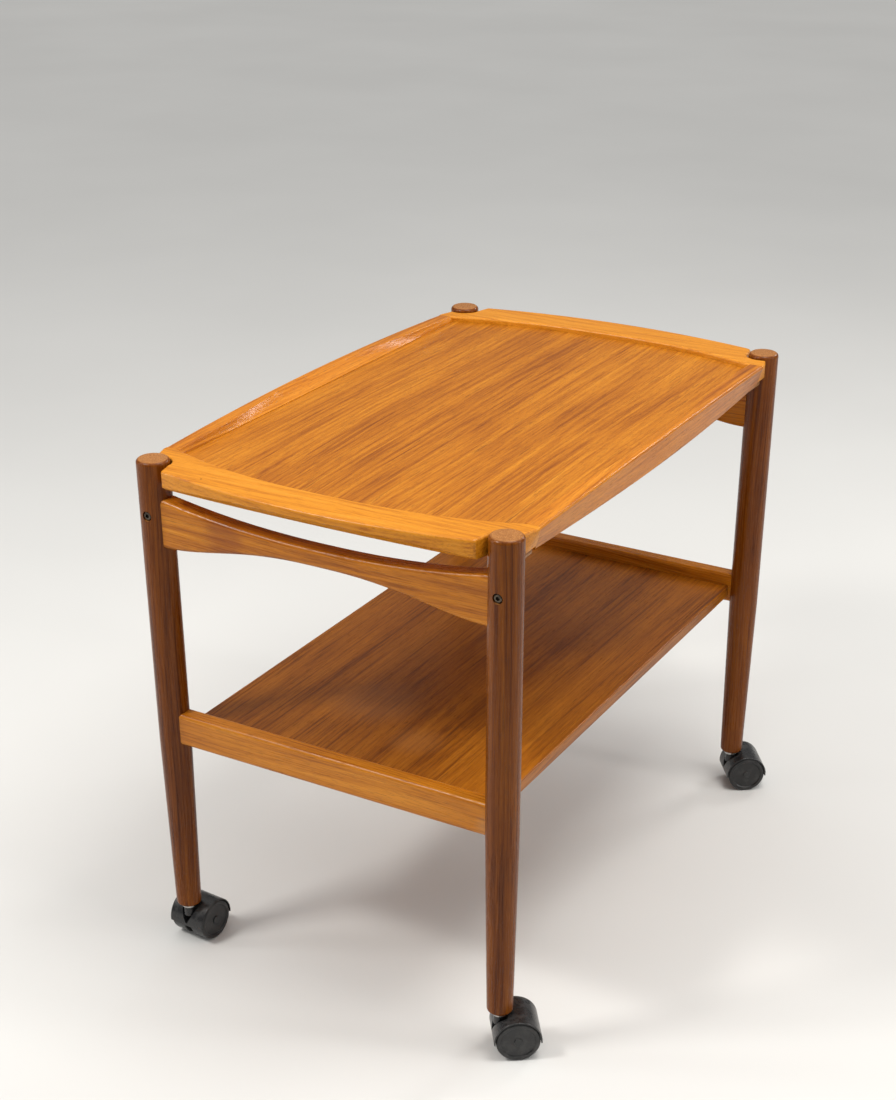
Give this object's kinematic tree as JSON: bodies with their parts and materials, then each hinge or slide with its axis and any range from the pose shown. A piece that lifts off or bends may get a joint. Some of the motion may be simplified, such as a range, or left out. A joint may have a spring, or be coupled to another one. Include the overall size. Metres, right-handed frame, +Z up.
{
  "type": "serving trolley",
  "caption": "Tiered teak serving trolley: a lift-off tray with bowed, dished rims above a lower shelf, on turned legs with hooded castors.",
  "frame": {"origin": "on the floor under the middle of the trolley", "axes": "+Z up, Y along the trolley's length, X across its ends"},
  "size_m": [0.5212, 0.7492, 0.611],
  "materials": {
    "leg_teak": "satin oiled",
    "rail_teak": "satin oiled",
    "tray_teak": "satin oiled",
    "panel_teak": "satin oiled veneer",
    "peg_wood": "bare",
    "dark_steel": "browned",
    "bright_steel": "zinc plated",
    "hood_plastic": "semi-gloss",
    "wheel_plastic": "satin"
  },
  "bodies": {
    "frame": {"upper_rail_front": "rail_teak", "upper_rail_back": "rail_teak", "lower_rail_front": "rail_teak", "lower_rail_back": "rail_teak", "shelf_board": "panel_teak", "shelf_lipping_left": "panel_teak", "shelf_lipping_right": "panel_teak", "leg_front_right": "leg_teak", "tray_peg_front_right": "peg_wood", "rail_screw_front_right": "dark_steel", "screw_insert_front_right": "bright_steel", "castor_socket_front_right": "bright_steel", "leg_front_left": "leg_teak", "tray_peg_front_left": "peg_wood", "rail_screw_front_left": "dark_steel", "screw_insert_front_left": "bright_steel", "castor_socket_front_left": "bright_steel", "leg_back_right": "leg_teak", "tray_peg_back_right": "peg_wood", "rail_screw_back_right": "dark_steel", "screw_insert_back_right": "bright_steel", "castor_socket_back_right": "bright_steel", "leg_back_left": "leg_teak", "tray_peg_back_left": "peg_wood", "rail_screw_back_left": "dark_steel", "screw_insert_back_left": "bright_steel", "castor_socket_back_left": "bright_steel"},
    "tray": {"tray_panel": "panel_teak", "tray_side_rim_left": "tray_teak", "tray_side_rim_right": "tray_teak", "tray_end_rim_front": "tray_teak", "tray_end_rim_back": "tray_teak"},
    "castor_front_right": {"castor_stem_front_right": "bright_steel", "castor_hood_front_right": "hood_plastic", "castor_axle_front_right": "bright_steel"},
    "wheel_front_right_left": {"wheel_front_right_left": "wheel_plastic"},
    "wheel_front_right_right": {"wheel_front_right_right": "wheel_plastic"},
    "castor_front_left": {"castor_stem_front_left": "bright_steel", "castor_hood_front_left": "hood_plastic", "castor_axle_front_left": "bright_steel"},
    "wheel_front_left_left": {"wheel_front_left_left": "wheel_plastic"},
    "wheel_front_left_right": {"wheel_front_left_right": "wheel_plastic"},
    "castor_back_right": {"castor_stem_back_right": "bright_steel", "castor_hood_back_right": "hood_plastic", "castor_axle_back_right": "bright_steel"},
    "wheel_back_right_left": {"wheel_back_right_left": "wheel_plastic"},
    "wheel_back_right_right": {"wheel_back_right_right": "wheel_plastic"},
    "castor_back_left": {"castor_stem_back_left": "bright_steel", "castor_hood_back_left": "hood_plastic", "castor_axle_back_left": "bright_steel"},
    "wheel_back_left_left": {"wheel_back_left_left": "wheel_plastic"},
    "wheel_back_left_right": {"wheel_back_left_right": "wheel_plastic"}
  },
  "joints": [
    {"name": "tray_lift", "type": "slide", "parent": "frame", "child": "tray", "axis": [0, 0, 1], "range_m": [0, 0.1]},
    {"name": "castor_swivel_front_right", "type": "hinge", "parent": "frame", "child": "castor_front_right", "pos_m": [0.21, -0.332, 0.05212], "axis": [0, 0, 1], "continuous": true},
    {"name": "wheel_spin_front_right_left", "type": "hinge", "parent": "castor_front_right", "child": "wheel_front_right_left", "pos_m": [0.22475, -0.32168, 0.0245], "axis": [-0.5736, 0.8192, 0], "continuous": true},
    {"name": "wheel_spin_front_right_right", "type": "hinge", "parent": "castor_front_right", "child": "wheel_front_right_right", "pos_m": [0.22475, -0.32168, 0.0245], "axis": [-0.5736, 0.8192, 0], "continuous": true},
    {"name": "castor_swivel_front_left", "type": "hinge", "parent": "frame", "child": "castor_front_left", "pos_m": [-0.21, -0.332, 0.05212], "axis": [0, 0, 1], "continuous": true},
    {"name": "wheel_spin_front_left_left", "type": "hinge", "parent": "castor_front_left", "child": "wheel_front_left_left", "pos_m": [-0.20874, -0.31404, 0.0245], "axis": [-0.9976, 0.0698, 0], "continuous": true},
    {"name": "wheel_spin_front_left_right", "type": "hinge", "parent": "castor_front_left", "child": "wheel_front_left_right", "pos_m": [-0.20874, -0.31404, 0.0245], "axis": [-0.9976, 0.0698, 0], "continuous": true},
    {"name": "castor_swivel_back_right", "type": "hinge", "parent": "frame", "child": "castor_back_right", "pos_m": [0.21, 0.332, 0.05212], "axis": [0, 0, 1], "continuous": true},
    {"name": "wheel_spin_back_right_left", "type": "hinge", "parent": "castor_back_right", "child": "wheel_back_right_left", "pos_m": [0.22475, 0.34232, 0.0245], "axis": [-0.5736, 0.8192, 0], "continuous": true},
    {"name": "wheel_spin_back_right_right", "type": "hinge", "parent": "castor_back_right", "child": "wheel_back_right_right", "pos_m": [0.22475, 0.34232, 0.0245], "axis": [-0.5736, 0.8192, 0], "continuous": true},
    {"name": "castor_swivel_back_left", "type": "hinge", "parent": "frame", "child": "castor_back_left", "pos_m": [-0.21, 0.332, 0.05212], "axis": [0, 0, 1], "continuous": true},
    {"name": "wheel_spin_back_left_left", "type": "hinge", "parent": "castor_back_left", "child": "wheel_back_left_left", "pos_m": [-0.22475, 0.34232, 0.0245], "axis": [-0.5736, -0.8192, 0], "continuous": true},
    {"name": "wheel_spin_back_left_right", "type": "hinge", "parent": "castor_back_left", "child": "wheel_back_left_right", "pos_m": [-0.22475, 0.34232, 0.0245], "axis": [-0.5736, -0.8192, 0], "continuous": true}
  ]
}
